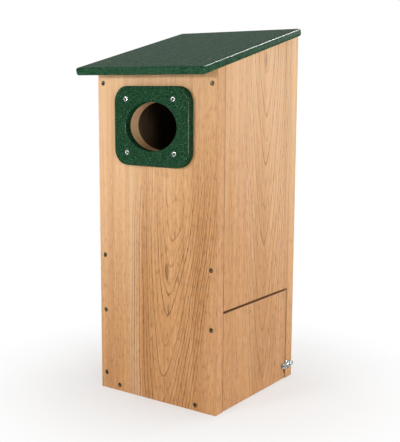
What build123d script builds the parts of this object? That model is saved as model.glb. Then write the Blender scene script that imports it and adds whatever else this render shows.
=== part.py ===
from build123d import *
import math
import os

# A nest box for wood ducks: cedar boards, a sloping roof board, a guard plate round the oval
# entrance, and a cleanout door low in the right wall that a turn button keeps shut.
# Millimetres. X runs to the right, Y to the back, Z up. The origin is the middle of the underside,
# half way between the outer faces of the front and back walls.

# Body
body_width = 241.3
body_depth = 247.6
back_height = 610.0
roof_slope = 13.8

# Cedar boards, with the sharp edges of the walls and the door eased
front_board = 20.0
back_board = 22.0
side_board = 20.0
floor_board = 20.0
board_ease = 0.7

# The plastic board that the roof and the guard plate are cut from
plastic_board = 12.7

# Roof, with its overhangs measured on its underside
roof_front_overhang = 45.0
roof_side_overhang = 7.0
roof_edge_round = 4.0

# Entrance, its middle measured down from the front edge of the walls' top, and its guard plate
entrance_width = 102.0
entrance_height = 78.0
entrance_drop = 90.6
guard_width = 150.0
guard_height = 127.5
guard_corner_radius = 26.0
guard_edge_round = 2.5

# Cleanout door
door_top = 164.0
door_gap_top = 4.0
door_gap_bottom = 1.2
door_gap_front = 1.0
door_gap_back = 2.5
door_gap_floor = 2.0
door_pivot_height = 140.5
pivot_clearance = 0.25

# Countersunk screws
screw_head_radius = 4.0
screw_head_depth = 2.6
screw_shank_radius = 2.0
screw_tip = 3.0
screw_sink = 1.0
roof_screw_sink = 0.3
screw_clearance = 0.1
wall_screw_length = 50.0
guard_screw_length = 28.0
roof_screw_length = 38.0
pivot_screw_length = 46.0

# Screw places: in from each side face, down from the top, and up from the underside
wall_screw_inset = 11.0
wall_screw_drop = 22.5
wall_screw_heights = (28.0, 140.5, 237.0)
floor_screw_spacing = 160.0
roof_screw_inset = 20.0
roof_screw_edge = 8.0

# Places of the guard's four screws across and up from the middle of the entrance. They are driven
# by eye, so they aren't quite square.
guard_screw_offsets = ((-51.0, 43.0), (44.5, 43.5), (-48.5, -43.0), (46.5, -41.5))

# Turn button beside the door, on a washer. Its tab is bent up for a finger.
latch_height = 25.0
latch_inset = 15.5
latch_tongue_reach = 23.0
latch_tongue_radius = 4.5
latch_boss_radius = 7.5
latch_tab_reach = 12.0
latch_tab_radius = 5.5
latch_tab_bend = 7.0
latch_tab_rise = 3.5
latch_bend_radius = 2.0
latch_thickness = 1.6
latch_washer_radius = 6.0
latch_washer_thickness = 0.6
latch_play = 0.15
latch_screw_length = 18.0
latch_screw_head_radius = 4.2
latch_screw_head_height = 1.8

# Holes that a hung box needs
post_hole_radius = 4.0
post_hole_spacing = 360.0
drain_hole_radius = 4.0
drain_hole_inset = 30.0

# Saw cuts inside the front wall, the ladder by which ducklings leave
ladder_width = 110.0
ladder_cut = 3.0
ladder_depth = 3.0
ladder_pitch = 20.0
ladder_bottom = 60.0
ladder_top_clearance = 25.0

front_face = -body_depth / 2
back_face = body_depth / 2
right_face = body_width / 2
inner_front = front_face + front_board
inner_back = back_face - back_board
inner_side = right_face - side_board
slope_angle = math.radians(roof_slope)
slope_up = Vector(0, -math.sin(slope_angle), math.cos(slope_angle))
slope_down = slope_up * -1
into_front = Vector(0, 1, 0)
into_back = Vector(0, -1, 0)
into_right = Vector(-1, 0, 0)
cut_over = 1.0


def wall_top(y):
    """Height of the sloping top of the walls at a distance along Y."""
    return back_height - math.tan(slope_angle) * (back_face - y)


entrance_centre_height = wall_top(front_face) - entrance_drop


def side_outline(x, start, end, bottom, top=None):
    """A board's outline across X, up to the sloping top of the walls or to a level top."""
    far_top = wall_top(end) if top is None else top
    near_top = wall_top(start) if top is None else top
    with BuildSketch(Plane.YZ.offset(x)) as outline:
        with BuildLine():
            Polyline((start, bottom), (end, bottom), (end, far_top), (start, near_top), close=True)
        make_face()
    return outline.sketch


def screw_plane(place, direction):
    """Plane whose Y axis runs along a screw from its seat into the wood."""
    across = Vector(0, 1, 0) if abs(direction.X) > 0.5 else Vector(1, 0, 0)
    return Plane(origin=place, x_dir=across, z_dir=across.cross(direction))


def turned(place, direction, points, mode=Mode.ADD):
    """Turn a half outline about a screw's axis. Its points are (radius, depth below the seat)."""
    with BuildSketch(screw_plane(place, direction)) as half:
        with BuildLine():
            Polyline(*points, close=True)
        make_face()
    revolve(half.sketch, axis=Axis(place, direction), mode=mode)


def sunk_screw(place, direction, length, sink=screw_sink):
    """A countersunk screw whose head lies level with the surface or a little below it."""
    points = [
        (0, sink),
        (screw_head_radius, sink),
        (screw_shank_radius, sink + screw_head_depth),
        (screw_shank_radius, length - screw_tip),
        (0, length),
    ]
    turned(place, direction, points)


def sunk_hole(place, direction, length, sink=screw_sink, gap=screw_clearance):
    """The hole that a countersunk screw sits in, through all that it passes."""
    head = screw_head_radius + screw_clearance
    shank = screw_shank_radius + gap
    points = [
        (0, -cut_over),
        (head, -cut_over),
        (head, sink),
        (shank, sink + screw_head_depth),
        (shank, length + gap),
        (0, length + gap),
    ]
    turned(place, direction, points, Mode.SUBTRACT)


def pan_screw(place, direction, length, head_radius, head_height):
    """A screw whose domed head stands on the surface."""
    rim = (head_radius, -0.25 * head_height)
    with BuildSketch(screw_plane(place, direction)) as half:
        with BuildLine():
            ThreePointArc((0, -head_height), (0.6 * head_radius, -0.86 * head_height), rim)
            Polyline(
                rim,
                (head_radius, 0),
                (screw_shank_radius, 0),
                (screw_shank_radius, length - screw_tip),
                (0, length),
                (0, -head_height),
            )
        make_face()
    revolve(half.sketch, axis=Axis(place, direction))


def plain_hole(place, direction, length, gap=screw_clearance):
    """A straight hole for a screw's shank."""
    shank = screw_shank_radius + gap
    points = [(0, -cut_over), (shank, -cut_over), (shank, length + gap), (0, length + gap)]
    turned(place, direction, points, Mode.SUBTRACT)


def roof_seat(x, y):
    """Point on top of the roof board, square above a point of the walls' sloping top."""
    return Vector(x, y, wall_top(y)) + slope_up * plastic_board


# Screw places, on the outer face that each one enters
wall_screw_x = right_face - wall_screw_inset
above_door = [z for z in wall_screw_heights if z > door_top + door_gap_top]
front_top_screw = wall_top(front_face) - wall_screw_drop
back_top_screw = wall_top(back_face) - wall_screw_drop
front_left_places = [Vector(-wall_screw_x, front_face, z) for z in (*wall_screw_heights, front_top_screw)]
front_right_places = [Vector(wall_screw_x, front_face, z) for z in (*above_door, front_top_screw)]
back_left_places = [Vector(-wall_screw_x, back_face, z) for z in (*wall_screw_heights, back_top_screw)]
back_right_places = [Vector(wall_screw_x, back_face, z) for z in (*above_door, back_top_screw)]
floor_screw_xs = (-floor_screw_spacing / 2, floor_screw_spacing / 2)
front_floor_places = [Vector(x, front_face, floor_board / 2) for x in floor_screw_xs]
back_floor_places = [Vector(x, back_face, floor_board / 2) for x in floor_screw_xs]

pivot_x = right_face - side_board / 2
pivot_front = Vector(pivot_x, front_face, door_pivot_height)
pivot_back = Vector(pivot_x, back_face, door_pivot_height)

guard_face = front_face - plastic_board
guard_places = [Vector(x, guard_face, entrance_centre_height + z) for x, z in guard_screw_offsets]

roof_screw_xs = (-right_face + roof_screw_inset, right_face - roof_screw_inset)
roof_front_places = [roof_seat(x, front_face + roof_screw_edge) for x in roof_screw_xs]
roof_back_places = [roof_seat(x, inner_back + roof_screw_edge) for x in roof_screw_xs]

latch_y = back_face - latch_inset
latch_inner = right_face + latch_washer_thickness + latch_play
latch_outer = latch_inner + latch_thickness
latch_seat = Vector(latch_outer + latch_play, latch_y, latch_height)

os.makedirs("parts", exist_ok=True)

with BuildPart() as front_wall:
    extrude(side_outline(-right_face, front_face, inner_front, 0), amount=body_width)
    fillet(front_wall.edges(), radius=board_ease)
    with BuildSketch(Plane.XZ.offset(-inner_front)):
        with Locations((0, entrance_centre_height)):
            Ellipse(entrance_width / 2, entrance_height / 2)
    extrude(amount=front_board, mode=Mode.SUBTRACT)
    for place in front_left_places + front_right_places + front_floor_places:
        sunk_hole(place, into_front, wall_screw_length)
    sunk_hole(pivot_front, into_front, pivot_screw_length)
    for place in guard_places:
        plain_hole(place, into_front, guard_screw_length)
    for place in roof_front_places:
        plain_hole(place, slope_down, roof_screw_length)
    ladder_top = entrance_centre_height - entrance_height / 2 - ladder_top_clearance
    ladder_count = int((ladder_top - ladder_bottom) / ladder_pitch) + 1
    with BuildSketch(Plane.XZ.offset(-inner_front)):
        with Locations(*[(0, ladder_bottom + step * ladder_pitch) for step in range(ladder_count)]):
            Rectangle(ladder_width, ladder_cut)
    extrude(amount=ladder_depth, mode=Mode.SUBTRACT)
front_wall.part.label = "front_wall"
export_step(front_wall.part, "parts/front_wall.step")

with BuildPart() as back_wall:
    extrude(side_outline(-right_face, inner_back, back_face, 0), amount=body_width)
    fillet(back_wall.edges(), radius=board_ease)
    with BuildSketch(Plane.XZ.offset(-back_face)):
        post_hole_middle = entrance_centre_height - post_hole_spacing / 2
        with Locations((0, post_hole_middle)), GridLocations(post_hole_spacing, post_hole_spacing, 1, 2):
            Circle(post_hole_radius)
    extrude(amount=back_board, mode=Mode.SUBTRACT)
    for place in back_left_places + back_right_places + back_floor_places:
        sunk_hole(place, into_back, wall_screw_length)
    sunk_hole(pivot_back, into_back, pivot_screw_length)
    for place in roof_back_places:
        plain_hole(place, slope_down, roof_screw_length)
    plain_hole(latch_seat, into_right, latch_screw_length)
back_wall.part.label = "back_wall"
export_step(back_wall.part, "parts/back_wall.step")

with BuildPart() as left_wall:
    extrude(side_outline(-right_face, inner_front, inner_back, 0), amount=side_board)
    fillet(left_wall.edges(), radius=board_ease)
    for place in front_left_places:
        plain_hole(place, into_front, wall_screw_length)
    for place in back_left_places:
        plain_hole(place, into_back, wall_screw_length)
left_wall.part.label = "left_wall"
export_step(left_wall.part, "parts/left_wall.step")

with BuildPart() as right_wall:
    extrude(side_outline(inner_side, inner_front, inner_back, door_top + door_gap_top), amount=side_board)
    fillet(right_wall.edges(), radius=board_ease)
    for place in front_right_places:
        plain_hole(place, into_front, wall_screw_length)
    for place in back_right_places:
        plain_hole(place, into_back, wall_screw_length)
right_wall.part.label = "right_wall"
export_step(right_wall.part, "parts/right_wall.step")

with BuildPart() as cleanout_door:
    door_front = inner_front + door_gap_front
    door_back = inner_back - door_gap_back
    extrude(side_outline(inner_side, door_front, door_back, door_gap_bottom, door_top), amount=side_board)
    fillet(cleanout_door.edges(), radius=board_ease)
    plain_hole(pivot_front, into_front, pivot_screw_length, gap=pivot_clearance)
    plain_hole(pivot_back, into_back, pivot_screw_length, gap=pivot_clearance)
cleanout_door.part.label = "cleanout_door"
export_step(cleanout_door.part, "parts/cleanout_door.step")

with BuildPart() as floor_panel:
    floor_right = inner_side - door_gap_floor
    floor_width = floor_right + inner_side
    floor_depth = inner_back - inner_front
    floor_middle = ((floor_right - inner_side) / 2, (inner_front + inner_back) / 2)
    with BuildSketch(Plane.XY):
        with Locations(floor_middle):
            Rectangle(floor_width, floor_depth)
            with GridLocations(floor_width - 2 * drain_hole_inset, floor_depth - 2 * drain_hole_inset, 2, 2):
                Circle(drain_hole_radius, mode=Mode.SUBTRACT)
    extrude(amount=floor_board)
    for place in front_floor_places:
        plain_hole(place, into_front, wall_screw_length)
    for place in back_floor_places:
        plain_hole(place, into_back, wall_screw_length)
floor_panel.part.label = "floor_board"
export_step(floor_panel.part, "parts/floor_board.step")

with BuildPart() as roof_board:
    roof_start = front_face - roof_front_overhang
    roof_length = (back_face - roof_start) / math.cos(slope_angle)
    roof_plane = Plane(origin=(0, roof_start, wall_top(roof_start)), x_dir=(1, 0, 0), z_dir=slope_up)
    with BuildSketch(roof_plane):
        Rectangle(body_width + 2 * roof_side_overhang, roof_length, align=(Align.CENTER, Align.MIN))
    extrude(amount=plastic_board)
    fillet(roof_board.edges(), radius=roof_edge_round)
    for place in roof_front_places + roof_back_places:
        sunk_hole(place, slope_down, roof_screw_length, roof_screw_sink)
roof_board.part.label = "roof_board"
export_step(roof_board.part, "parts/roof_board.step")

with BuildPart() as entrance_guard:
    with BuildSketch(Plane.XZ.offset(-front_face)):
        with Locations((0, entrance_centre_height)):
            RectangleRounded(guard_width, guard_height, guard_corner_radius)
            Ellipse(entrance_width / 2, entrance_height / 2, mode=Mode.SUBTRACT)
    extrude(amount=plastic_board)
    fillet(entrance_guard.faces().sort_by(Axis.Y)[0].edges(), radius=guard_edge_round)
    for place in guard_places:
        sunk_hole(place, into_front, guard_screw_length, sink=0)
entrance_guard.part.label = "entrance_guard"
export_step(entrance_guard.part, "parts/entrance_guard.step")

# Each group of like screws is one node
screw_groups = {
    "front_left_screws": (front_left_places, into_front),
    "front_right_screws": (front_right_places, into_front),
    "front_floor_screws": (front_floor_places, into_front),
    "back_left_screws": (back_left_places, into_back),
    "back_right_screws": (back_right_places, into_back),
    "back_floor_screws": (back_floor_places, into_back),
}
for node, (places, direction) in screw_groups.items():
    with BuildPart() as wall_screws:
        for place in places:
            sunk_screw(place, direction, wall_screw_length)
    wall_screws.part.label = node
    export_step(wall_screws.part, f"parts/{node}.step")

with BuildPart() as guard_screws:
    for place in guard_places:
        sunk_screw(place, into_front, guard_screw_length, sink=0)
guard_screws.part.label = "guard_screws"
export_step(guard_screws.part, "parts/guard_screws.step")

for node, places in {"roof_front_screws": roof_front_places, "roof_back_screws": roof_back_places}.items():
    with BuildPart() as roof_screws:
        for place in places:
            sunk_screw(place, slope_down, roof_screw_length, roof_screw_sink)
    roof_screws.part.label = node
    export_step(roof_screws.part, f"parts/{node}.step")

for node, place, direction in (
    ("door_pivot_screw_front", pivot_front, into_front),
    ("door_pivot_screw_back", pivot_back, into_back),
):
    with BuildPart() as pivot_screw:
        sunk_screw(place, direction, pivot_screw_length)
    pivot_screw.part.label = node
    export_step(pivot_screw.part, f"parts/{node}.step")

with BuildPart() as latch_washer:
    with BuildSketch(Plane.YZ.offset(right_face)):
        with Locations((latch_y, latch_height)):
            Circle(latch_washer_radius)
            Circle(screw_shank_radius + screw_clearance, mode=Mode.SUBTRACT)
    extrude(amount=latch_washer_thickness)
latch_washer.part.label = "latch_washer"
export_step(latch_washer.part, "parts/latch_washer.step")

with BuildPart() as latch_button:
    with BuildSketch(Plane.YZ.offset(latch_inner)):
        with Locations((latch_y, latch_height)):
            Circle(latch_boss_radius)
            with Locations((latch_tongue_radius - latch_tongue_reach, 0)):
                Circle(latch_tongue_radius)
            with Locations((latch_tab_reach - latch_tab_radius, 0)):
                Circle(latch_tab_radius)
        make_hull()
    extrude(amount=latch_tab_rise + latch_thickness)
    with BuildSketch(Plane.XY.offset(latch_height)):
        plate_middle = (latch_inner + latch_outer) / 2
        with BuildLine():
            FilletPolyline(
                (plate_middle, latch_y - latch_tongue_reach - cut_over),
                (plate_middle, latch_y + latch_tab_bend),
                (plate_middle + latch_tab_rise, latch_y + latch_tab_reach),
                radius=latch_bend_radius,
            )
        trace(line_width=latch_thickness)
    extrude(amount=latch_boss_radius, both=True, mode=Mode.INTERSECT)
    plain_hole(latch_seat, into_right, latch_screw_length, gap=pivot_clearance)
latch_button.part.label = "latch_button"
export_step(latch_button.part, "parts/latch_button.step")

with BuildPart() as latch_screw:
    pan_screw(latch_seat, into_right, latch_screw_length, latch_screw_head_radius, latch_screw_head_height)
latch_screw.part.label = "latch_screw"
export_step(latch_screw.part, "parts/latch_screw.step")
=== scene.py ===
import math

import bpy
from mathutils import Euler, Matrix, Vector


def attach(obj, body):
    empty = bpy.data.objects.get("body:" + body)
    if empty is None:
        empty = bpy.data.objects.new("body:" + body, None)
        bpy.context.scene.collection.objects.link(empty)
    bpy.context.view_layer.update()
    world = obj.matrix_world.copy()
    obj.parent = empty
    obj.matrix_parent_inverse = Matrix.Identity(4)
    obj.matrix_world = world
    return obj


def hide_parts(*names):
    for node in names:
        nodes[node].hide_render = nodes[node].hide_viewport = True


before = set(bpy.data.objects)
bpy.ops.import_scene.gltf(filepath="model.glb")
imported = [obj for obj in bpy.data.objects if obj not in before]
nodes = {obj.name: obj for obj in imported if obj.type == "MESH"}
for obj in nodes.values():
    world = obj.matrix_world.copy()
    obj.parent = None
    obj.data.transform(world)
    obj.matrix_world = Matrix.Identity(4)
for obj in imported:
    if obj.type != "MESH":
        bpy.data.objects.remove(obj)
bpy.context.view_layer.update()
print("frame loaded:", len(nodes), "nodes")


# Helpers for materials

def shade(hexColor):
    parts = [int(hexColor[i:i + 2], 16) / 255 for i in (1, 3, 5)]
    linear = [p / 12.92 if p <= 0.04045 else ((p + 0.055) / 1.055) ** 2.4 for p in parts]
    return (*linear, 1.0)


def newMaterial(name):
    material = bpy.data.materials.new(name)
    material.use_nodes = True
    return material, material.node_tree, material.node_tree.nodes["Principled BSDF"]


def feed(tree, socket, value):
    # a value is either another node's socket or a plain number, vector or colour
    if isinstance(value, bpy.types.NodeSocket):
        tree.links.new(value, socket)
    elif value is not None:
        socket.default_value = value


def math2(tree, operation, first, second=None, clamp=False):
    node = tree.nodes.new("ShaderNodeMath")
    node.operation = operation
    node.use_clamp = clamp
    feed(tree, node.inputs[0], first)
    feed(tree, node.inputs[1], second)
    return node.outputs[0]


def times(tree, first, second, clamp=False):
    return math2(tree, "MULTIPLY", first, second, clamp)


def scaled(tree, value, factor, offset, clamp=False):
    # the value times a factor, plus an offset
    return math2(tree, "ADD", times(tree, value, factor), offset, clamp)


def vector2(tree, operation, first, second=None):
    node = tree.nodes.new("ShaderNodeVectorMath")
    node.operation = operation
    feed(tree, node.inputs[0], first)
    feed(tree, node.inputs[1], second)
    return node.outputs["Value" if operation in ("LENGTH", "DOT_PRODUCT") else "Vector"]


def objectPlace(tree, location=(0, 0, 0), turn=(0, 0, 0), unit=0.001):
    # object coordinates in millimetres, from a centre in metres and turned
    coordinates = tree.nodes.new("ShaderNodeTexCoord")
    mapping = tree.nodes.new("ShaderNodeMapping")
    mapping.vector_type = "TEXTURE"
    mapping.inputs["Location"].default_value = location
    mapping.inputs["Rotation"].default_value = turn
    mapping.inputs["Scale"].default_value = (unit, unit, unit)
    tree.links.new(coordinates.outputs["Object"], mapping.inputs["Vector"])
    return mapping.outputs["Vector"]


def noise(tree, vector, stretch=(1, 1, 1), detail=2.0, roughness=0.5, color=False):
    node = tree.nodes.new("ShaderNodeTexNoise")
    node.inputs["Scale"].default_value = 1.0
    node.inputs["Detail"].default_value = detail
    node.inputs["Roughness"].default_value = roughness
    feed(tree, node.inputs["Vector"], vector2(tree, "MULTIPLY", vector, stretch))
    return node.outputs["Color" if color else "Fac"]


def ramp(tree, factor, stops, smooth=False):
    node = tree.nodes.new("ShaderNodeValToRGB")
    node.color_ramp.interpolation = "EASE" if smooth else "LINEAR"
    elements = node.color_ramp.elements
    while len(elements) < len(stops):
        elements.new(0.5)
    for element, (position, value) in zip(elements, stops):
        element.position = position
        element.color = value if isinstance(value, tuple) else (value, value, value, 1.0)
    feed(tree, node.inputs["Fac"], factor)
    return node.outputs["Color"]


def slide(tree, vector, start, end):
    # runs from 0 at one point to 1 at another, smoothly, in millimetres
    way = Vector(end) - Vector(start)
    step = way / way.length_squared
    along = vector2(tree, "DOT_PRODUCT", vector2(tree, "SUBTRACT", vector, start), tuple(step))
    return ramp(tree, along, [(0.0, 0.0), (1.0, 1.0)], True)


def mixColor(tree, factor, first, second, blend="MIX"):
    node = tree.nodes.new("ShaderNodeMix")
    node.data_type = "RGBA"
    node.blend_type = blend
    feed(tree, node.inputs["Factor"], factor)
    feed(tree, node.inputs["A"], first)
    feed(tree, node.inputs["B"], second)
    return node.outputs["Result"]


def bump(tree, height, strength, distance):
    node = tree.nodes.new("ShaderNodeBump")
    node.inputs["Strength"].default_value = strength
    node.inputs["Distance"].default_value = distance
    feed(tree, node.inputs["Height"], height)
    return node.outputs["Normal"]


def paint(node, material):
    nodes[node].data.materials.clear()
    nodes[node].data.materials.append(material)


# Cedar. Growth rings are cones round a pith line in or beside the board, so that each face shows its
# own figure. Places are in millimetres in the frame's own axes.

cedar = {
    "light": "#e9c093",
    "middle": "#e1b486",
    "deepLight": "#cf9b67",
    "deepDark": "#c38f5b",
    "blush": "#dba98a",
    "glint": "#f2d3ab",
    "line": "#6a3b1a",
    "pore": "#8a5630",
    "fibre": "#c79f78",
    "mark": "#4a260f",
    # the dark brown of the painted shade inside the box, also used for the dirt and shade in the seams
    "inner": "#2f1c10",
    "ringAmount": 0.42,
    "tipAmount": 0.90,
    "leastFigure": 0.12,
    "hueAmount": 0.35,
    "fibreAmount": 0.24,
    "glintAmount": 0.30,
    "palePores": 0.08,
    "deepPores": 0.36,
    "insideShade": 0.80,
    "endGrain": 0.72,
    "roughness": 0.60,
    "gloss": 0.20,
    "fibreBump": 0.35,
    "bumpDepth": 0.0005,
    # the space between the inner faces of the walls
    "insideX": (-100.9, 100.9),
    "insideY": (-104.1, 102.1),
    # the joints that show on the sides: how far back each lies and how dark it is
    "seams": ((-103.8, 0.60), (101.8, 0.25)),
    "seamWidth": (0.55, 1.0),
    "sidesFrom": 119.0,
    # each noise: how often it changes in a millimetre each way, its detail and its roughness
    "noise": {
        "wander": ((0.010, 0.010, 0.0045), 1.5, 0.55),
        "wiggle": ((0.045, 0.045, 0.016), 3.0, 0.55),
        "pores": ((0.42, 0.42, 0.075), 2.0, 0.60),
        "fibres": ((0.30, 0.30, 0.0026), 3.0, 0.60),
        "streaks": ((0.040, 0.040, 0.0010), 2.0, 0.60),
        "hues": ((0.030, 0.030, 0.0022), 1.0, 0.50),
        "glints": ((0.40, 0.40, 0.030), 1.5, 0.50),
        "patches": ((0.030, 0.030, 0.008), 2.0, 0.50),
    },
}

# tips: how high the point of each strong ring stands on the face, and how strong it is
# marks: place across the face, height, half width, half height and strength of each dark mark
# paleBand: place across the face, half width and strength
# each board grows darker from one given point towards another, lower down on the walls: partly heartwood
# tone, partly painted shade
boards = {
    "front_wall": {
        "face": (0, 1, 0), "pith": (10.0, -119.0, 0.0), "turn": (0.0, 0.085, 0.0), "taper": -0.76,
        "bend": 14.0, "wander": 10.0, "wiggle": 4.5, "seed": 3.0, "fineRing": 36.0, "wideRing": 95.0,
        "depth": 4.8, "tipWidth": 1.2, "straightFrom": 300.0, "straighter": 0.50,
        "tips": [
            (-440, 0.6), (-370, 0.9), (-300, 0.6), (-235, 1.0), (-180, 0.5), (-147, 1.0),
            (-90, 0.6), (-50, 0.9), (-5, 0.6), (45, 0.9), (100, 0.5), (153, 1.0), (186, 0.8),
            (232, 0.5), (275, 0.8), (350, 0.5), (460, 0.5),
        ],
        "figure": 0.95, "figureFrom": (-30.0, 0.0, 430.0), "figureTo": (45.0, 0.0, 230.0),
        "heartAndShade": 1.0, "heartShadeFrom": (-115.0, 0.0, 480.0), "heartShadeTo": (130.0, 0.0, 300.0),
        "paleBand": (-48.0, 20.0, 0.62),
        "marks": [
            (23.0, 225.0, 4.6, 17.0, 0.75), (26.0, 162.0, 2.6, 12.0, 0.6),
            (45.0, 214.0, 3.2, 7.0, 0.55), (39.0, 287.0, 2.6, 8.0, 0.5),
            (22.0, 262.0, 2.2, 10.0, 0.4),
        ],
    },
    "right_wall": {
        "face": (1, 0, 0), "pith": (117.0, 19.0, 0.0), "turn": (0.0, 0.0, 0.0), "taper": -0.43,
        "bend": 30.0, "wander": 8.0, "wiggle": 3.0, "seed": 11.0, "fineRing": 21.0, "wideRing": 57.0,
        "depth": 3.6, "tipWidth": 1.4, "straightFrom": 560.0, "straighter": 0.5,
        "tips": [
            (-190, 0.7), (-110, 0.9), (-40, 0.6), (25, 0.9), (109, 1.0), (180, 0.7),
            (256, 1.0), (320, 0.6), (391, 1.0), (430, 0.4), (472, 0.9), (545, 0.6),
        ],
        "figure": 0.62, "figureFrom": (0.0, -75.0, 0.0), "figureTo": (0.0, -5.0, 0.0),
        "heartAndShade": 0.90, "heartShadeFrom": (0.0, 90.0, 530.0), "heartShadeTo": (0.0, -150.0, 290.0),
        "paleBand": (-20.0, 18.0, 0.20),
        "marks": [
            # the two marks low down by the latch are painted shadow under the latch's tongue
            (17.0, 566.0, 4.0, 16.0, 0.5), (97.2, 16.4, 5.4, 3.0, 1.4), (97.0, 12.2, 4.2, 2.0, 1.2),
        ],
    },
    "left_wall": {
        "face": (1, 0, 0), "pith": (-117.0, -20.0, 0.0), "turn": (-0.02, 0.0, 0.0), "taper": -0.40,
        "bend": 45.0, "wander": 9.0, "wiggle": 3.0, "seed": 19.0, "fineRing": 16.0, "wideRing": 43.0,
        "depth": 3.6, "tipWidth": 1.3, "straightFrom": 440.0, "straighter": 0.5,
        "tips": [
            (-120, 0.8), (-40, 0.6), (60, 1.0), (120, 0.5), (205, 0.9), (300, 1.0), (360, 0.5),
            (430, 0.9), (520, 0.7),
        ],
        "figure": 0.62, "figureFrom": (0.0, 90.0, 0.0), "figureTo": (0.0, 10.0, 0.0),
        "heartAndShade": 0.65, "heartShadeFrom": (0.0, -60.0, 560.0), "heartShadeTo": (0.0, 110.0, 120.0),
        "paleBand": (40.0, 18.0, 0.25),
        "marks": [(-12.0, 470.0, 3.0, 20.0, 0.5)],
    },
    "back_wall": {
        "face": (0, 1, 0), "pith": (-34.0, 119.0, 0.0), "turn": (0.0, -0.04, 0.0), "taper": 0.30,
        "bend": 120.0, "wander": 14.0, "wiggle": 4.5, "seed": 27.0, "fineRing": 8.0, "wideRing": 21.0,
        "depth": 4.8, "tipWidth": 1.3, "straightFrom": 480.0, "straighter": 0.5,
        "tips": [
            (90, 0.6), (150, 1.0), (235, 0.5), (300, 0.9), (375, 0.6), (470, 1.0), (560, 0.7),
            (660, 0.9),
        ],
        "figure": 0.75, "figureFrom": (130.0, 0.0, 0.0), "figureTo": (20.0, 0.0, 0.0),
        "heartAndShade": 0.80, "heartShadeFrom": (230.0, 0.0, 500.0), "heartShadeTo": (-90.0, 0.0, 200.0),
        "paleBand": (62.0, 16.0, 0.45),
        "marks": [(-40.0, 330.0, 3.0, 18.0, 0.5)],
    },
    "floor_board": {
        "face": (0, 0, 1), "pith": (0.0, 20.0, 40.0), "turn": (0.0, math.pi / 2, 0.0), "taper": 0.08,
        "bend": 200.0, "wander": 12.0, "wiggle": 2.0, "seed": 41.0, "fineRing": 6.0, "wideRing": 15.0,
        "depth": 20.0, "tipWidth": 2.0, "tips": [], "straightFrom": 900.0, "straighter": 0.0,
        "figure": 0.6, "figureFrom": (0.0, -120.0, 0.0), "figureTo": (0.0, 60.0, 0.0),
        "heartAndShade": 0.4, "heartShadeFrom": (0.0, -90.0, 0.0), "heartShadeTo": (0.0, 90.0, 0.0),
        "paleBand": (30.0, 12.0, 0.30),
        "marks": [],
    },
}


def woodNoise(tree, spot, name):
    return noise(tree, spot, *cedar["noise"][name])


def jitter(tree, spot, name, amount):
    # a smooth random shift of up to half the amount each way
    shift = noise(tree, spot, *cedar["noise"][name], color=True)
    shift = vector2(tree, "SUBTRACT", shift, (0.5, 0.5, 0.5))
    return vector2(tree, "MULTIPLY", shift, (amount,) * 3)


def growthRings(tree, board, place, spot):
    # how far out each point's ring lies at height 0, and how much closer the rings come there
    bent = vector2(tree, "ADD", place, jitter(tree, spot, "wander", board["wander"]))
    bent = vector2(tree, "ADD", bent, jitter(tree, spot, "wiggle", board["wiggle"]))
    radius = vector2(tree, "LENGTH", vector2(tree, "MULTIPLY", bent, (1.0, 1.0, 0.0)))
    spread = times(tree, radius, scaled(tree, radius, 1.0 / board["bend"], 1.0))
    along = vector2(tree, "DOT_PRODUCT", place, (0.0, 0.0, 1.0))
    above = math2(tree, "SUBTRACT", along, board["straightFrom"])
    above = math2(tree, "MAXIMUM", above, 0.0)
    along = math2(tree, "SUBTRACT", along, times(tree, above, board["straighter"]))
    ringAt = scaled(tree, along, board["taper"], spread)
    return ringAt, scaled(tree, radius, 2.0 / board["bend"], 1.0)


def ringLines(tree, ringAt, width, seed, power):
    # each ring darkens slowly and ends in a thin dark line, and only some of the lines are strong
    rings = scaled(tree, ringAt, 1.0 / width, 40.0 + seed)
    ownRing = tree.nodes.new("ShaderNodeTexWhiteNoise")
    ownRing.noise_dimensions = "1D"
    feed(tree, ownRing.inputs["W"], math2(tree, "FLOOR", rings))
    stops = [(0.0, 0.15), (0.10, 0.0), (0.66, 0.05), (0.82, 0.8), (0.91, 1.0), (1.0, 0.15)]
    line = ramp(tree, math2(tree, "FRACT", rings), stops)
    return times(tree, line, math2(tree, "POWER", ownRing.outputs["Value"], power))


def tipLines(tree, ringAt, closer, board):
    # the strong rings, each given by the height at which its tip shows on the face
    pithDepth = board["depth"] * (1 + board["depth"] / board["bend"])
    width = times(tree, closer, board["tipWidth"])
    total = 0.0
    for height, strength in board["tips"]:
        height -= board["straighter"] * max(height - board["straightFrom"], 0.0)
        away = math2(tree, "SUBTRACT", ringAt, pithDepth + board["taper"] * height)
        away = math2(tree, "DIVIDE", math2(tree, "ABSOLUTE", away), width)
        band = ramp(tree, away, [(0.35, strength), (1.0, 0.0)])
        total = math2(tree, "MAXIMUM", band, total)
    return total


def figureLines(tree, board, place, spot, flat, ticks, onFace):
    # what the growth rings leave on the face: fine and wide ones in patches, and the strong ones
    ringAt, closer = growthRings(tree, board, place, spot)
    wide = ringLines(tree, ringAt, board["wideRing"], board["seed"], 1.4)
    fine = ringLines(tree, ringAt, board["fineRing"], board["seed"] + 5.0, 1.2)
    patches = ramp(tree, woodNoise(tree, spot, "patches"), [(0.34, 0.25), (0.58, 1.0)], True)
    line = times(tree, math2(tree, "MAXIMUM", wide, fine), cedar["ringAmount"])
    line = times(tree, line, patches)
    tips = times(tree, tipLines(tree, ringAt, closer, board), cedar["tipAmount"])
    line = math2(tree, "MAXIMUM", line, tips)
    figured = slide(tree, flat, board["figureFrom"], board["figureTo"])
    figured = scaled(tree, figured, 1.0 - cedar["leastFigure"], cedar["leastFigure"])
    line = times(tree, times(tree, line, figured), onFace)
    return times(tree, line, scaled(tree, ticks, 0.50, 0.68), True)


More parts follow.
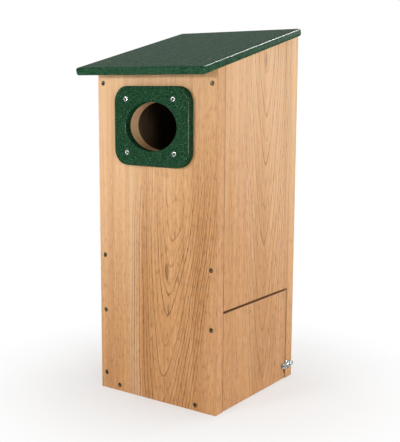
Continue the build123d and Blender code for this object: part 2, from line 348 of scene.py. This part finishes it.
def plainWood(tree, spot, deep, fibres, ticks):
    # pale sapwood to deep heartwood, streaked, then hues, fibres, glints and pores; the blend towards the
    # deep tone is partly heartwood and partly painted shade
    streaked = ramp(tree, woodNoise(tree, spot, "streaks"), [(0.36, 0.0), (0.66, 1.0)], True)
    pale = mixColor(tree, streaked, shade(cedar["light"]), shade(cedar["middle"]))
    heart = mixColor(tree, streaked, shade(cedar["deepLight"]), shade(cedar["deepDark"]))
    tone = mixColor(tree, deep, pale, heart)
    hueStops = [(0.48, 0.0), (0.70, cedar["hueAmount"])]
    hues = ramp(tree, woodNoise(tree, spot, "hues"), hueStops, True)
    tone = mixColor(tree, hues, tone, mixColor(tree, 0.5, tone, shade(cedar["blush"])))
    dark = mixColor(tree, 1.0, tone, shade(cedar["fibre"]), "MULTIPLY")
    tone = mixColor(tree, ramp(tree, fibres, [(0.42, 0.0), (0.64, cedar["fibreAmount"])]), tone, dark)
    glints = ramp(tree, woodNoise(tree, spot, "glints"), [(0.58, 0.0), (0.72, 1.0)])
    glints = times(tree, glints, cedar["glintAmount"])
    tone = mixColor(tree, glints, tone, mixColor(tree, 0.6, tone, shade(cedar["glint"])))
    poreAmount = scaled(tree, deep, cedar["deepPores"], cedar["palePores"])
    return mixColor(tree, times(tree, ticks, poreAmount), tone, shade(cedar["pore"]))


def paintBand(tree, board, tone, across):
    place, halfWidth, amount = board["paleBand"]
    away = math2(tree, "DIVIDE", math2(tree, "SUBTRACT", across, place), halfWidth)
    band = ramp(tree, math2(tree, "ABSOLUTE", away), [(0.0, amount), (1.0, 0.0)], True)
    return mixColor(tree, band, tone, mixColor(tree, 0.45, tone, shade(cedar["glint"])))


def softSpot(tree, across, up, place, sizes):
    # 1 at a place on the face and 0 outside its half width and half height
    offsetAcross = math2(tree, "DIVIDE", math2(tree, "SUBTRACT", across, place[0]), sizes[0])
    offsetUp = math2(tree, "DIVIDE", math2(tree, "SUBTRACT", up, place[1]), sizes[1])
    squareAcross = math2(tree, "POWER", offsetAcross, 2.0)
    squareUp = math2(tree, "POWER", offsetUp, 2.0)
    return ramp(tree, math2(tree, "ADD", squareAcross, squareUp), [(0.25, 1.0), (1.0, 0.0)], True)


def paintMarks(tree, board, tone, across, up, ticks):
    for place, height, halfWidth, halfHeight, amount in board["marks"]:
        mark = softSpot(tree, across, up, (place, height), (halfWidth, halfHeight))
        mark = times(tree, mark, scaled(tree, ticks, 0.3, 0.7), True)
        tone = mixColor(tree, times(tree, mark, amount), tone, shade(cedar["mark"]))
    return tone


def paintInsideShade(tree, tone, x, y):
    # painted shade: the inner faces of the box are darkened towards the inner colour
    inside = 1.0
    for place, (low, high) in ((x, cedar["insideX"]), (y, cedar["insideY"])):
        inside = times(tree, inside, math2(tree, "GREATER_THAN", place, low))
        inside = times(tree, inside, math2(tree, "LESS_THAN", place, high))
    return mixColor(tree, times(tree, inside, cedar["insideShade"]), tone, shade(cedar["inner"]))


def paintSeams(tree, tone, x, y):
    # the joints between the front and back walls and the sides gather dirt and shade
    onSides = math2(tree, "GREATER_THAN", math2(tree, "ABSOLUTE", x), cedar["sidesFrom"])
    near, far = cedar["seamWidth"]
    for seam, depth in cedar["seams"]:
        away = math2(tree, "ABSOLUTE", math2(tree, "SUBTRACT", y, seam))
        shadow = times(tree, ramp(tree, away, [(near, depth), (far, 0.0)]), onSides)
        tone = mixColor(tree, shadow, tone, shade(cedar["inner"]))
    return tone


def paintEnds(tree, tone, facing, fibreTurn):
    # end grain drinks in more and is darker
    grain = Euler(fibreTurn).to_matrix() @ Vector((0, 0, 1))
    ends = math2(tree, "ABSOLUTE", vector2(tree, "DOT_PRODUCT", facing, tuple(grain)))
    ends = ramp(tree, ends, [(0.75, 0.0), (0.95, 1.0)])
    dark = mixColor(tree, 1.0, tone, (cedar["endGrain"],) * 3 + (1.0,), "MULTIPLY")
    return mixColor(tree, ends, tone, dark)


def makeCedar(name, board):
    material, tree, shader = newMaterial(name)
    level = abs(board["face"][2]) > 0.5
    fibreTurn = board["turn"] if level else (0, 0, 0)
    flat = objectPlace(tree)
    place = objectPlace(tree, tuple(0.001 * p for p in board["pith"]), board["turn"])
    seedShift = tuple(50.0 * board["seed"] * s for s in (1.0, 1.7, 0.6))
    spot = vector2(tree, "ADD", objectPlace(tree, (0, 0, 0), fibreTurn), seedShift)
    apart = tree.nodes.new("ShaderNodeSeparateXYZ")
    feed(tree, apart.inputs["Vector"], flat)
    x, y, z = apart.outputs
    across = y if abs(board["face"][0]) > 0.5 else x

    # figure shows on the two broad faces only
    facing = tree.nodes.new("ShaderNodeTexCoord").outputs["Normal"]
    facingBroad = math2(tree, "ABSOLUTE", vector2(tree, "DOT_PRODUCT", facing, board["face"]))
    onFace = ramp(tree, facingBroad, [(0.6, 0.0), (0.9, 1.0)])
    ticks = ramp(tree, woodNoise(tree, spot, "pores"), [(0.52, 0.0), (0.66, 1.0)])
    fibres = woodNoise(tree, spot, "fibres")
    line = figureLines(tree, board, place, spot, flat, ticks, onFace)
    # partly heartwood, partly painted shade: darker from one given point towards another
    deep = times(tree, slide(tree, flat, board["heartShadeFrom"], board["heartShadeTo"]), board["heartAndShade"])

    tone = plainWood(tree, spot, deep, fibres, ticks)
    tone = paintBand(tree, board, tone, across)
    tone = mixColor(tree, times(tree, line, board["figure"], True), tone, shade(cedar["line"]))
    tone = paintMarks(tree, board, tone, across, z, ticks)
    tone = paintInsideShade(tree, tone, x, y)
    tone = paintSeams(tree, tone, x, y)
    tone = paintEnds(tree, tone, facing, fibreTurn)
    feed(tree, shader.inputs["Base Color"], tone)

    rough = scaled(tree, fibres, 0.16, cedar["roughness"] - 0.08)
    feed(tree, shader.inputs["Roughness"], rough)
    shader.inputs["Specular IOR Level"].default_value = cedar["gloss"]
    height = math2(tree, "SUBTRACT", times(tree, fibres, 0.8), times(tree, line, 0.5))
    height = math2(tree, "SUBTRACT", height, times(tree, ticks, 0.4))
    feed(tree, shader.inputs["Normal"], bump(tree, height, cedar["fibreBump"], cedar["bumpDepth"]))
    return material


for node, board in boards.items():
    paint(node, makeCedar("cedar_" + node, board))
# the door is sawn out of the right wall, so the figure runs on through it
paint("cleanout_door", makeCedar("cedar_cleanout_door", boards["right_wall"]))
print("cedar boards painted")


# Green board: dense recycled plastic, speckled all through

greenBoard = {
    "base": "#12341f",
    "dark": "#071b0f",
    "light": "#224c30",
    "fleck": "#4f8461",
    "grain": 0.60,
    "fleckGrain": 0.75,
    "fleckAmount": 0.62,
    "mottleGrain": 0.14,
    "mottle": {"roof_board": 0.32, "entrance_guard": 0.05},
    "coat": {"roof_board": 0.13, "entrance_guard": 0.12},
    "coatRoughness": 0.13,
    "roughness": 0.5,
    "peelGrain": 0.5,
    "peel": 0.35,
    "peelDepth": 0.0004,
}


def makeGreenBoard(node):
    material, tree, shader = newMaterial("green_board_" + node)
    place = objectPlace(tree)
    specks = noise(tree, place, (greenBoard["grain"],) * 3, 2.0, 0.6)
    tone = ramp(tree, specks, [
        (0.38, shade(greenBoard["dark"])),
        (0.50, shade(greenBoard["base"])),
        (0.62, shade(greenBoard["light"])),
    ])
    elsewhere = vector2(tree, "ADD", place, (71.0, 13.0, 5.0))
    flecks = noise(tree, elsewhere, (greenBoard["fleckGrain"],) * 3, 1.0, 0.5)
    flecks = ramp(tree, flecks, [(0.59, 0.0), (0.69, greenBoard["fleckAmount"])])
    tone = mixColor(tree, flecks, tone, shade(greenBoard["fleck"]))
    mottle = noise(tree, place, (greenBoard["mottleGrain"],) * 3, 2.0, 0.6)
    mottle = ramp(tree, mottle, [(0.36, 0.0), (0.64, 1.0)])
    paler = mixColor(tree, 0.6, tone, shade(greenBoard["fleck"]))
    tone = mixColor(tree, times(tree, mottle, greenBoard["mottle"][node]), tone, paler)
    feed(tree, shader.inputs["Base Color"], tone)
    shader.inputs["Roughness"].default_value = greenBoard["roughness"]
    shader.inputs["Specular IOR Level"].default_value = 0.0
    shader.inputs["Coat Weight"].default_value = greenBoard["coat"][node]
    shader.inputs["Coat Roughness"].default_value = greenBoard["coatRoughness"]
    peel = noise(tree, place, (greenBoard["peelGrain"],) * 3, 3.0, 0.6)
    relief = bump(tree, peel, greenBoard["peel"], greenBoard["peelDepth"])
    feed(tree, shader.inputs["Normal"], relief)
    feed(tree, shader.inputs["Coat Normal"], relief)
    return material


for node in ("roof_board", "entrance_guard"):
    paint(node, makeGreenBoard(node))
print("green board painted")


# Steel: bright zinc on the latch and the guard screws, a dull coat in the wall and roof screws

# each steel's rim colour is the painted shade round the edge of a driven head
steels = {
    "zinc": {
        "color": "#c9cdca", "stain": "#3b4140", "roughness": 0.26, "rim": "#8f948f",
        "rimShadeFrom": 0.92, "dents": 0.8,
    },
    "coated": {
        "color": "#a39580", "stain": "#4f4334", "roughness": 0.36, "rim": "#1c130c",
        "rimShadeFrom": 0.70, "dents": 0.2,
    },
}
steelGrain = {"mottle": 0.45, "dents": 0.20, "dentDepth": 0.0025, "rimShadeBlend": 0.08}
# the driver's recess is painted dark: painted shade in the hollow of the head
recess = {"dark": "#0d0a08", "light": "#241d17", "grain": 1.5, "roughness": 0.7, "gloss": 0.2}
plateEdge = {"weld": 0.00001, "round": 0.00035, "segments": 2, "angle": 50}


def makeSteel(name, steel, driven=False):
    material, tree, shader = newMaterial(name)
    place = objectPlace(tree)
    mottle = noise(tree, place, (steelGrain["mottle"],) * 3, 3.0, 0.6)
    tone = ramp(tree, mottle, [(0.40, shade(steel["stain"])), (0.58, shade(steel["color"]))])
    if driven:
        # painted shade: the outer edge of a driven head is darkened towards the rim colour
        reach = tree.nodes.new("ShaderNodeUVMap")
        reach.uv_map = "headReach"
        apart = tree.nodes.new("ShaderNodeSeparateXYZ")
        feed(tree, apart.inputs["Vector"], reach.outputs["UV"])
        stops = [(steel["rimShadeFrom"] - steelGrain["rimShadeBlend"], 0.0), (steel["rimShadeFrom"], 1.0)]
        tone = mixColor(tree, ramp(tree, apart.outputs["X"], stops), tone, shade(steel["rim"]))
    feed(tree, shader.inputs["Base Color"], tone)
    shader.inputs["Metallic"].default_value = 1.0
    rough = scaled(tree, mottle, 0.2, steel["roughness"] - 0.1)
    feed(tree, shader.inputs["Roughness"], rough)
    dents = noise(tree, place, (steelGrain["dents"],) * 3, 2.0, 0.5)
    relief = bump(tree, dents, steel["dents"], steelGrain["dentDepth"])
    feed(tree, shader.inputs["Normal"], relief)
    return material


def makeRecessShade():
    material, tree, shader = newMaterial("recess_painted_shade")
    spot = noise(tree, objectPlace(tree), (recess["grain"],) * 3, 2.0, 0.5)
    tone = ramp(tree, spot, [(0.3, shade(recess["dark"])), (0.7, shade(recess["light"]))])
    feed(tree, shader.inputs["Base Color"], tone)
    shader.inputs["Roughness"].default_value = recess["roughness"]
    shader.inputs["Specular IOR Level"].default_value = recess["gloss"]
    return material


zinc = makeSteel("zinc_plate", steels["zinc"])
zincScrew = makeSteel("zinc_screw", steels["zinc"], True)
coated = makeSteel("coated_screw", steels["coated"], True)
recessShade = makeRecessShade()
for node in ("latch_washer", "latch_button"):
    paint(node, zinc)
# the sheared plate's edges are a little round
weld = nodes["latch_button"].modifiers.new("weld", "WELD")
weld.merge_threshold = plateEdge["weld"]
soft = nodes["latch_button"].modifiers.new("soft", "BEVEL")
soft.width = plateEdge["round"]
soft.segments = plateEdge["segments"]
soft.limit_method = "ANGLE"
soft.angle_limit = math.radians(plateEdge["angle"])
print("steel painted")


# Screws: one screw with a cross recess is modelled for each size, then copied into place. Lengths are
# in metres, and the recess and the profiles are shares of the head's radius and height.

screw = {
    "segments": 32,
    "rimHeight": 0.0005,
    "headDepth": 0.0026,
    "shankRadius": 0.0020,
    "tipLength": 0.0030,
    "tipRatio": 0.08,
    "recessDepth": 0.0021,
    "barReach": 0.74,
    "barWidth": 0.34,
    "barTaper": 0.35,
    "centreFoot": 0.198,
    "centreTop": 0.682,
    "centreSides": 16,
    "edge": 0.00022,
    "edgeAngle": 50,
    "smoothAngle": 35,
    "weld": 0.000002,
    "panRadius": 0.0042,
    "panHeight": 0.0018,
    "panProfile": ((0.30, 0.0), (0.62, 0.15), (0.90, 0.48), (1.0, 0.75), (1.0, 1.0)),
}


def deselectAll():
    if bpy.context.object and bpy.context.object.mode != "OBJECT":
        bpy.ops.object.mode_set(mode="OBJECT")
    bpy.ops.object.select_all(action="DESELECT")


def onlySelect(*objects):
    deselectAll()
    for one in objects:
        one.select_set(True)
    bpy.context.view_layer.objects.active = objects[-1]


def solidsOf(node):
    # the separate solids of a node, each as its corner points
    copy = nodes[node].copy()
    copy.data = nodes[node].data.copy()
    bpy.context.scene.collection.objects.link(copy)
    onlySelect(copy)
    bpy.ops.object.mode_set(mode="EDIT")
    bpy.ops.mesh.select_all(action="SELECT")
    bpy.ops.mesh.remove_doubles(threshold=screw["weld"])
    bpy.ops.mesh.separate(type="LOOSE")
    bpy.ops.object.mode_set(mode="OBJECT")
    loose = list(bpy.context.selected_objects)
    solids = [[vertex.co.copy() for vertex in one.data.vertices] for one in loose]
    for one in loose:
        bpy.data.objects.remove(one)
    return sorted(solids, key=lambda points: tuple(round(c, 4) for c in points[0]))


def headOf(points, outward):
    # the middle of a screw's head, its radius and the screw's whole length
    reach = [point.dot(outward) for point in points]
    top = [point for point, r in zip(points, reach) if r > max(reach) - 0.0001]
    middle = sum(top, Vector()) / len(top)
    radius = max((point - middle).length for point in top)
    return middle, radius, max(reach) - min(reach)


def turnScrew(name, rings):
    # a circle drawn out along its own axis, ring by ring, from the top of the head to the tip
    deselectAll()
    firstRadius, firstHeight = rings[0]
    bpy.ops.mesh.primitive_circle_add(
        vertices=screw["segments"], radius=firstRadius, fill_type="NGON", location=(0, 0, firstHeight)
    )
    piece = bpy.context.object
    piece.name = name
    piece.data.materials.append(coated)
    bpy.ops.object.transform_apply(location=True, rotation=True, scale=True)
    bpy.ops.object.mode_set(mode="EDIT")
    bpy.ops.mesh.select_all(action="SELECT")
    for (radius, height), (nextRadius, nextHeight) in zip(rings, rings[1:]):
        bpy.ops.mesh.extrude_region_move(TRANSFORM_OT_translate={"value": (0, 0, nextHeight - height)})
        ratio = nextRadius / radius
        if ratio != 1.0:
            bpy.ops.transform.resize(value=(ratio, ratio, 1), center_override=(0, 0, nextHeight))
    bpy.ops.mesh.select_all(action="SELECT")
    bpy.ops.mesh.normals_make_consistent(inside=False)
    bpy.ops.object.mode_set(mode="OBJECT")
    return piece


def addBar(headRadius, turn):
    # one bar of the cross, narrower at its foot
    depth = screw["recessDepth"]
    deselectAll()
    bpy.ops.mesh.primitive_cube_add(size=1, location=(0, 0, 0), rotation=(0, 0, turn))
    bar = bpy.context.object
    bar.scale = (2 * screw["barReach"] * headRadius, screw["barWidth"] * headRadius, 1.8 * depth)
    bpy.ops.object.transform_apply(location=True, rotation=True, scale=True)
    bpy.ops.object.mode_set(mode="EDIT")
    bpy.ops.mesh.select_all(action="DESELECT")
    bpy.ops.object.mode_set(mode="OBJECT")
    for face in bar.data.polygons:
        face.select = face.normal.z < -0.9
    bpy.ops.object.mode_set(mode="EDIT")
    narrower = (screw["barTaper"], screw["barTaper"], 1)
    bpy.ops.transform.resize(value=narrower, center_override=(0, 0, -0.9 * depth))
    bpy.ops.object.mode_set(mode="OBJECT")
    return bar


def cutRecess(piece, headRadius):
    # a tapering round centre and two crossed bars cut the driver's recess, whose faces take the painted
    # shade of the recess material
    deselectAll()
    bpy.ops.mesh.primitive_cone_add(
        vertices=screw["centreSides"], radius1=screw["centreFoot"] * headRadius,
        radius2=screw["centreTop"] * headRadius, depth=2 * screw["recessDepth"], location=(0, 0, 0)
    )
    cutters = [bpy.context.object, addBar(headRadius, 0.0), addBar(headRadius, math.pi / 2)]
    for cutter in cutters:
        cutter.data.materials.append(recessShade)
        onlySelect(piece)
        cut = piece.modifiers.new("recess", "BOOLEAN")
        cut.operation = "DIFFERENCE"
        cut.material_mode = "TRANSFER"
        cut.object = cutter
        bpy.ops.object.modifier_apply(modifier=cut.name)
    for cutter in cutters:
        bpy.data.objects.remove(cutter)


def finishHead(piece, headRadius):
    # rounded edges, smooth sides and, for the paint, how far out each corner lies on the head
    onlySelect(piece)
    rim = piece.modifiers.new("rim", "BEVEL")
    rim.width = screw["edge"]
    rim.segments = 2
    rim.limit_method = "ANGLE"
    rim.angle_limit = math.radians(screw["edgeAngle"])
    bpy.ops.object.modifier_apply(modifier=rim.name)
    bpy.ops.object.shade_smooth_by_angle(angle=math.radians(screw["smoothAngle"]))
    reach = piece.data.uv_layers.new(name="headReach")
    for loop in piece.data.loops:
        corner = piece.data.vertices[loop.vertex_index].co
        across = Vector((corner.x, corner.y)).length
        reach.data[loop.index].uv = (across / headRadius, -corner.z / headRadius)


def sunkHead(headRadius):
    return [(headRadius, 0), (headRadius, -screw["rimHeight"]), (screw["shankRadius"], -screw["headDepth"])]


def panHead(headRadius, headHeight):
    rings = [(across * headRadius, -down * headHeight) for across, down in screw["panProfile"]]
    return rings + [(screw["shankRadius"], -1.001 * headHeight)]


def makeScrew(name, headRings, headRadius, length):
    shank = screw["shankRadius"]
    tip = [(shank, screw["tipLength"] - length), (screw["tipRatio"] * shank, -length)]
    piece = turnScrew(name, headRings + tip)
    cutRecess(piece, headRadius)
    finishHead(piece, headRadius)
    return piece


def placeScrews(node, pattern, outward, finish, turns):
    # one copy of the pattern for each solid of the node, head outwards, joined into one piece
    copies = []
    for points, turn in zip(solidsOf(node), turns):
        middle, radius, length = headOf(points, outward)
        copy = pattern.copy()
        copy.data = pattern.data.copy()
        bpy.context.scene.collection.objects.link(copy)
        aim = outward.to_track_quat("Z", "Y").to_matrix().to_4x4()
        copy.matrix_world = Matrix.Translation(middle) @ aim @ Matrix.Rotation(turn, 4, "Z")
        copies.append(copy)
    bpy.context.view_layer.update()
    onlySelect(*copies)
    if len(copies) > 1:
        bpy.ops.object.join()
    piece = bpy.context.view_layer.objects.active
    bpy.ops.object.transform_apply(location=True, rotation=True, scale=True)
    piece.name = "driven_" + node
    piece.data.materials[0] = finish
    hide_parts(node)
    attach(piece, "house")


front = Vector((0, -1, 0))
back = Vector((0, 1, 0))
roofFaces = [face for face in nodes["roof_board"].data.polygons if face.normal.z > 0.9]
roofUp = max(roofFaces, key=lambda face: face.area).normal.normalized()
# each screw was driven home at a turn of its own
driverTurns = (0.35, 0.92, 1.30, 0.10)
drivenNodes = {
    "front_left_screws": (front, coated, "screw_steel"),
    "front_right_screws": (front, coated, "screw_steel"),
    "front_floor_screws": (front, coated, "screw_steel"),
    "door_pivot_screw_front": (front, coated, "screw_steel"),
    "back_left_screws": (back, coated, "screw_steel"),
    "back_right_screws": (back, coated, "screw_steel"),
    "back_floor_screws": (back, coated, "screw_steel"),
    "door_pivot_screw_back": (back, coated, "screw_steel"),
    "guard_screws": (front, zincScrew, "zinc_steel"),
    "roof_front_screws": (roofUp, coated, "screw_steel"),
    "roof_back_screws": (roofUp, coated, "screw_steel"),
    "latch_screw": (Vector((1, 0, 0)), zincScrew, "zinc_steel"),
}
patterns = {}
for node, (outward, finish, slotName) in drivenNodes.items():
    middle, radius, length = headOf(solidsOf(node)[0], outward)
    size = (round(radius, 4), round(length, 4))
    if node == "latch_screw":
        head = panHead(screw["panRadius"], screw["panHeight"])
        patterns[size] = makeScrew("panPattern", head, screw["panRadius"], length)
    elif size not in patterns:
        patterns[size] = makeScrew("screwPattern", sunkHead(size[0]), *size)
    placeScrews(node, patterns[size], outward, finish, driverTurns)
for pattern in patterns.values():
    bpy.data.objects.remove(pattern)
print("screws driven:", len(drivenNodes), "groups from", len(patterns), "patterns")


# Studio: floor, soft lamps, camera

studio = {
    "floorSize": 12.0,
    "floorColor": "#f4f4f4",
    "worldStrength": 0.15,
    "floorFade": [(0.12, 0.45), (0.48, 1.0)],
    "lamps": {
        "keyLamp": {
            "place": (-0.38, -1.32, 0.635), "aim": (0, -0.12, 0.44), "size": (0.28, 0.10), "power": 7.3,
        },
        "sideLamp": {
            "place": (1.30, 0.20, 0.36), "aim": (0.10, 0.06, 0.26), "size": (0.60, 0.50), "power": 4.6,
        },
        "holeLamp": {
            "place": (1.08, -0.95, 0.56), "aim": (0.02, -0.12, 0.40), "size": (0.35, 0.35), "power": 6.4,
        },
        "lowFill": {
            "place": (-0.35, -1.80, 0.16), "aim": (0, -0.12, 0.08), "size": (0.60, 0.20), "power": 2.4,
        },
        "leftFill": {
            "place": (-2.0, 0.1, 0.9), "aim": (0, 0, 0.35), "size": (1.0, 1.0), "power": 12.5,
        },
        "backFill": {
            "place": (0.9, 2.2, 1.0), "aim": (0, 0, 0.35), "size": (1.0, 1.0), "power": 16.0,
        },
        "topFill": {
            "place": (0.1, 0.2, 2.5), "aim": (0, 0, 0.60), "size": (1.2, 1.2), "power": 15.0,
        },
    },
    # these show in glossy edges alone
    "glints": {
        "roofGlint": {
            "place": (0.43, 1.45, 2.07), "aim": (0.128, 0, 0.60), "size": (0.60, 0.80), "power": 120.0,
        },
        "guardGlint": {
            "place": (1.13, -0.90, 0.41), "aim": (0.07, -0.14, 0.46), "size": (0.40, 0.32), "power": 26.0,
        },
    },
}


def lookedAt(tree):
    # the white of the background shows to the camera, in gloss and through clear things alone
    paths = tree.nodes.new("ShaderNodeLightPath")
    direct = math2(tree, "MAXIMUM", paths.outputs["Is Camera Ray"], paths.outputs["Is Glossy Ray"])
    return math2(tree, "MAXIMUM", direct, paths.outputs["Is Transmission Ray"])


def addLamp(name, lamp):
    data = bpy.data.lights.new(name, "AREA")
    data.shape = "RECTANGLE"
    data.size, data.size_y = lamp["size"]
    data.energy = lamp["power"]
    lampObject = bpy.data.objects.new(name, data)
    bpy.context.scene.collection.objects.link(lampObject)
    lampObject.location = lamp["place"]
    way = Vector(lamp["aim"]) - Vector(lamp["place"])
    lampObject.rotation_euler = way.to_track_quat("-Z", "Y").to_euler()
    lampObject.visible_camera = False
    return lampObject


for name, lamp in studio["lamps"].items():
    addLamp(name, lamp)
for name, lamp in studio["glints"].items():
    addLamp(name, lamp).visible_diffuse = False

deselectAll()
bpy.ops.mesh.primitive_plane_add(size=studio["floorSize"], location=(0, 0, 0))
floor = bpy.context.object
floor.name = "studioFloor"
floorMaterial, floorTree, floorShader = newMaterial("pale_floor")
floorShader.inputs["Base Color"].default_value = shade(studio["floorColor"])
floorShader.inputs["Roughness"].default_value = 0.9
floorShader.inputs["Specular IOR Level"].default_value = 0.0
# the floor shows white to the camera wherever nothing shades it
reach = vector2(floorTree, "LENGTH", objectPlace(floorTree, unit=1.0))
fade = ramp(floorTree, reach, studio["floorFade"], True)
seen = lookedAt(floorTree)
glow = floorTree.nodes.new("ShaderNodeEmission")
blend = floorTree.nodes.new("ShaderNodeMixShader")
feed(floorTree, blend.inputs["Fac"], times(floorTree, fade, seen))
floorTree.links.new(floorShader.outputs["BSDF"], blend.inputs[1])
floorTree.links.new(glow.outputs["Emission"], blend.inputs[2])
floorTree.links.new(blend.outputs["Shader"], floorTree.nodes["Material Output"].inputs["Surface"])
floor.data.materials.append(floorMaterial)

world = bpy.data.worlds.new("studioWorld")
bpy.context.scene.world = world
world.use_nodes = True
worldTree = world.node_tree
worldShade = worldTree.nodes["Background"]
worldMix = worldTree.nodes.new("ShaderNodeMix")
worldMix.inputs["A"].default_value = studio["worldStrength"]
worldMix.inputs["B"].default_value = 1.0
feed(worldTree, worldMix.inputs["Factor"], lookedAt(worldTree))
feed(worldTree, worldShade.inputs["Strength"], worldMix.outputs["Result"])
worldShade.inputs["Color"].default_value = (1.0, 1.0, 1.0, 1.0)

# the photograph's view, solved from the box's own edges
view = {
    "place": (0.83034, -1.17994, 0.51412),
    "pitch": 0.1540,
    "yaw": 0.6124,
    "roll": 0.0047,
    "focalPixels": 834.7,
    "imageHeight": 442,
}
cameraData = bpy.data.cameras.new("photoView")
camera = bpy.data.objects.new("photoView", cameraData)
bpy.context.scene.collection.objects.link(camera)
cameraData.sensor_fit = "AUTO"
cameraData.sensor_width = 36.0
cameraData.lens = view["focalPixels"] * cameraData.sensor_width / view["imageHeight"]
cameraData.clip_start = 0.05
aim = Matrix.Rotation(view["yaw"], 4, "Z") @ Matrix.Rotation(math.pi / 2 - view["pitch"], 4, "X")
aim = aim @ Matrix.Rotation(view["roll"], 4, "Z")
camera.matrix_world = Matrix.Translation(view["place"]) @ aim
bpy.context.scene.camera = camera
bpy.context.scene.view_settings.view_transform = "Standard"
print("studio ready")
